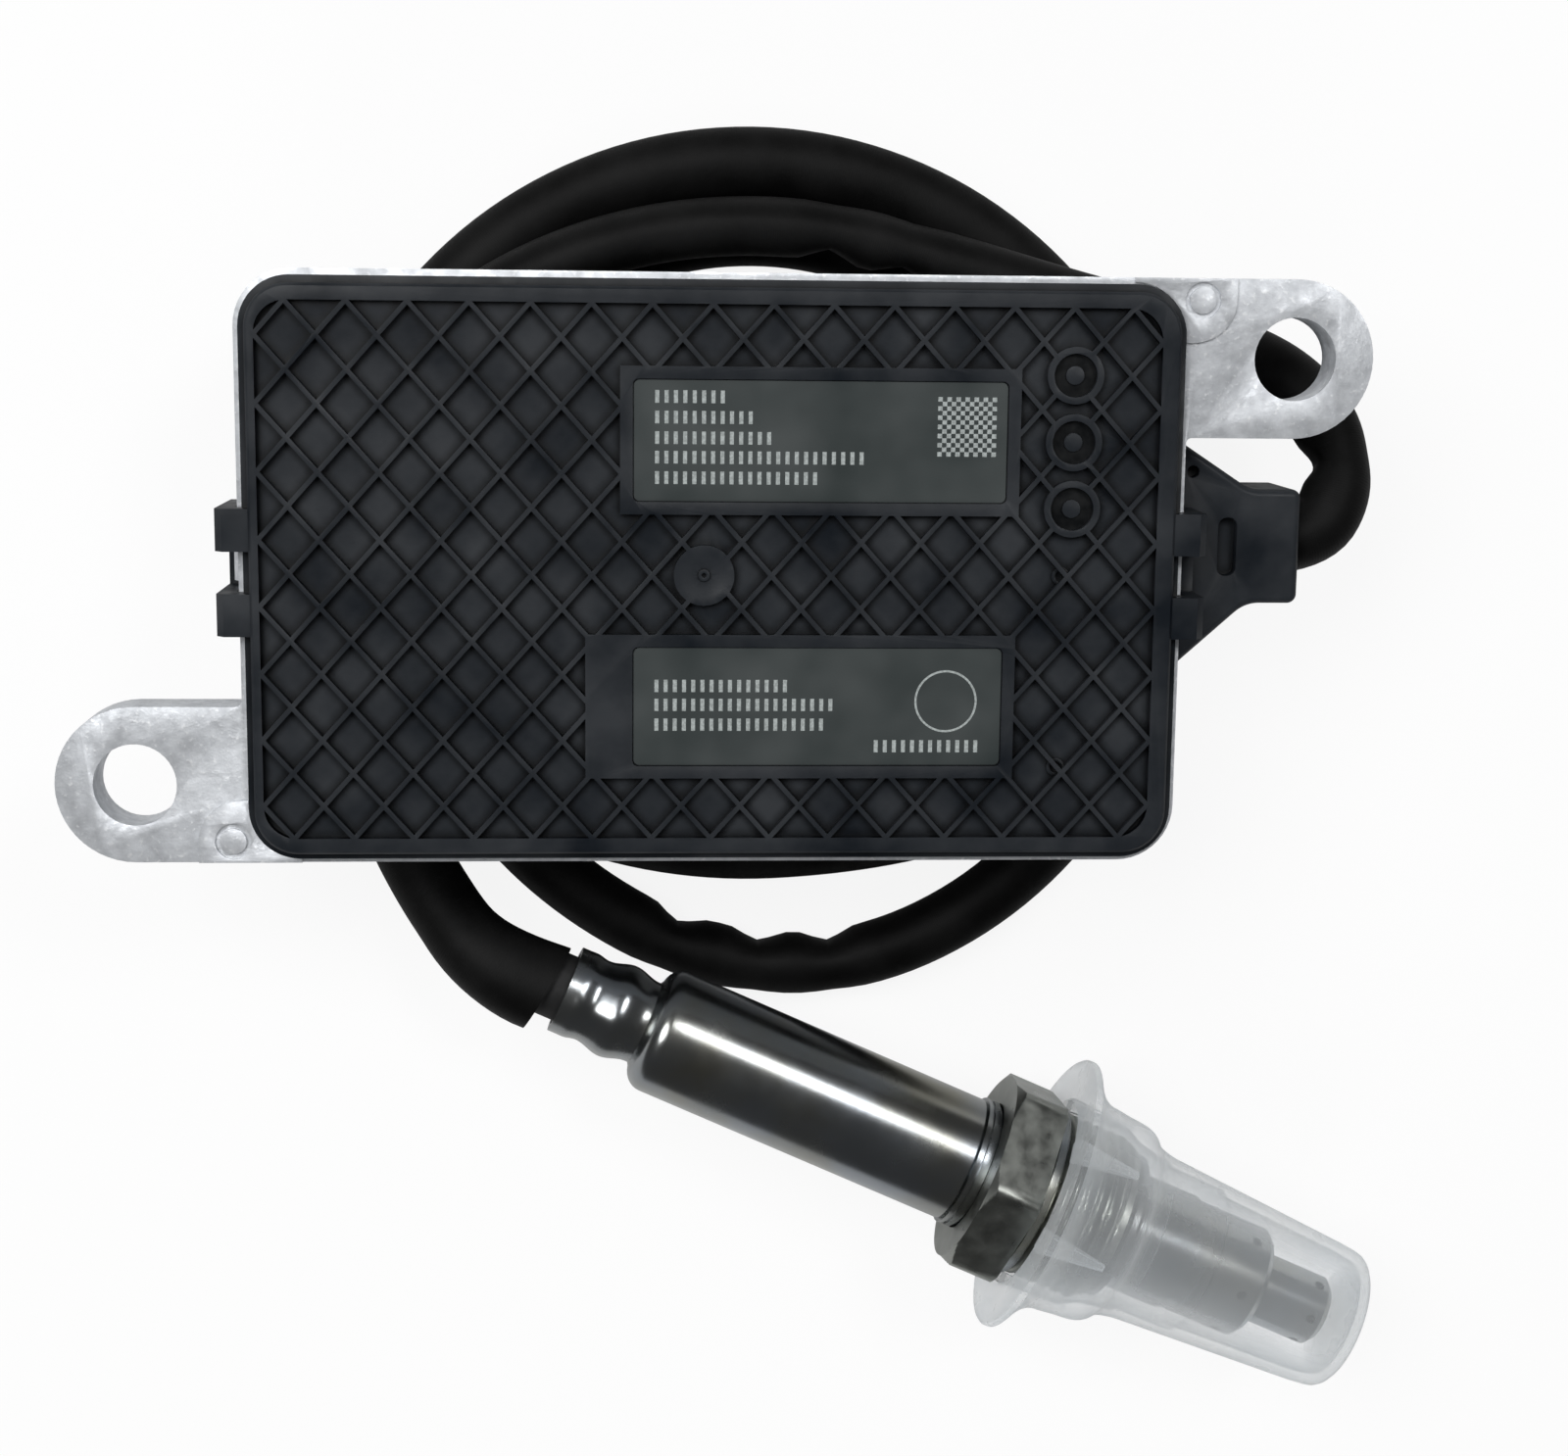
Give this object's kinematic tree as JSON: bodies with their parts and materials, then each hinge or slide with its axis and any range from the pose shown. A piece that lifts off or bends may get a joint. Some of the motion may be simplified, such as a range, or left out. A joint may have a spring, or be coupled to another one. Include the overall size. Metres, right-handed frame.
{
  "type": "nitrogen oxide sensor",
  "caption": "Exhaust gas sensor: ribbed control unit with mounting ears, looped hose cable and a threaded lance probe under a translucent push-on cap.",
  "frame": {"origin": "midway between the ear holes, on the seat of the ears", "axes": "+X along the case towards the cable outlet, +Y across the case away from the probe, +Z out of the ribbed cover"},
  "size_m": [0.1479, 0.146, 0.0396],
  "materials": {
    "cast_aluminium": "as cast",
    "cover_plastic": "satin moulded",
    "seal_rubber": "matt",
    "board_laminate": "solder resist",
    "chip_plastic": "matt",
    "capacitor_can": "smooth",
    "zinc_steel": "zinc plated",
    "gap_filler": "soft",
    "connector_plastic": "satin moulded",
    "contact_metal": "tin plated",
    "cable_hose": "matt",
    "stainless": "drawn and polished",
    "ceramic": "fired",
    "nut_steel": "turned and milled",
    "cap_polyethylene": "translucent"
  },
  "bodies": {
    "sensor": {"housing_casting": "cast_aluminium", "cover": "cover_plastic", "cover_seal": "seal_rubber", "circuit_board": "board_laminate", "board_screws": "zinc_steel", "controller_chip": "chip_plastic", "heater_driver": "chip_plastic", "supply_regulator": "chip_plastic", "input_capacitor": "capacitor_can", "heater_capacitor": "capacitor_can", "thermal_pad": "gap_filler", "connector_header": "connector_plastic", "connector_pins": "contact_metal", "cable_outlet": "cover_plastic", "wire_terminal": "connector_plastic", "lead_wires": "seal_rubber", "cable_lead": "cable_hose", "cable_coil": "cable_hose", "cable_tail": "cable_hose", "protective_sleeve": "stainless", "wire_grommet": "seal_rubber", "contact_holder": "ceramic", "contact_springs": "zinc_steel", "rear_bush": "ceramic", "talc_seal": "ceramic", "front_bush": "ceramic", "sensing_element": "ceramic", "probe_body": "stainless", "outer_tube": "stainless", "inner_tube": "stainless"},
    "nut": {"fixing_nut": "nut_steel"},
    "cap": {"protective_cap": "cap_polyethylene"}
  },
  "joints": [
    {"name": "nut_spin", "type": "hinge", "parent": "sensor", "child": "nut", "pos_m": [0.03188, -0.07225, -0.01401], "axis": [0.9143, -0.4032, 0.0384], "continuous": true},
    {"name": "cap_pull_off", "type": "slide", "parent": "nut", "child": "cap", "axis": [0.9143, -0.4032, 0.0384], "range_m": [0, 0.042]}
  ]
}
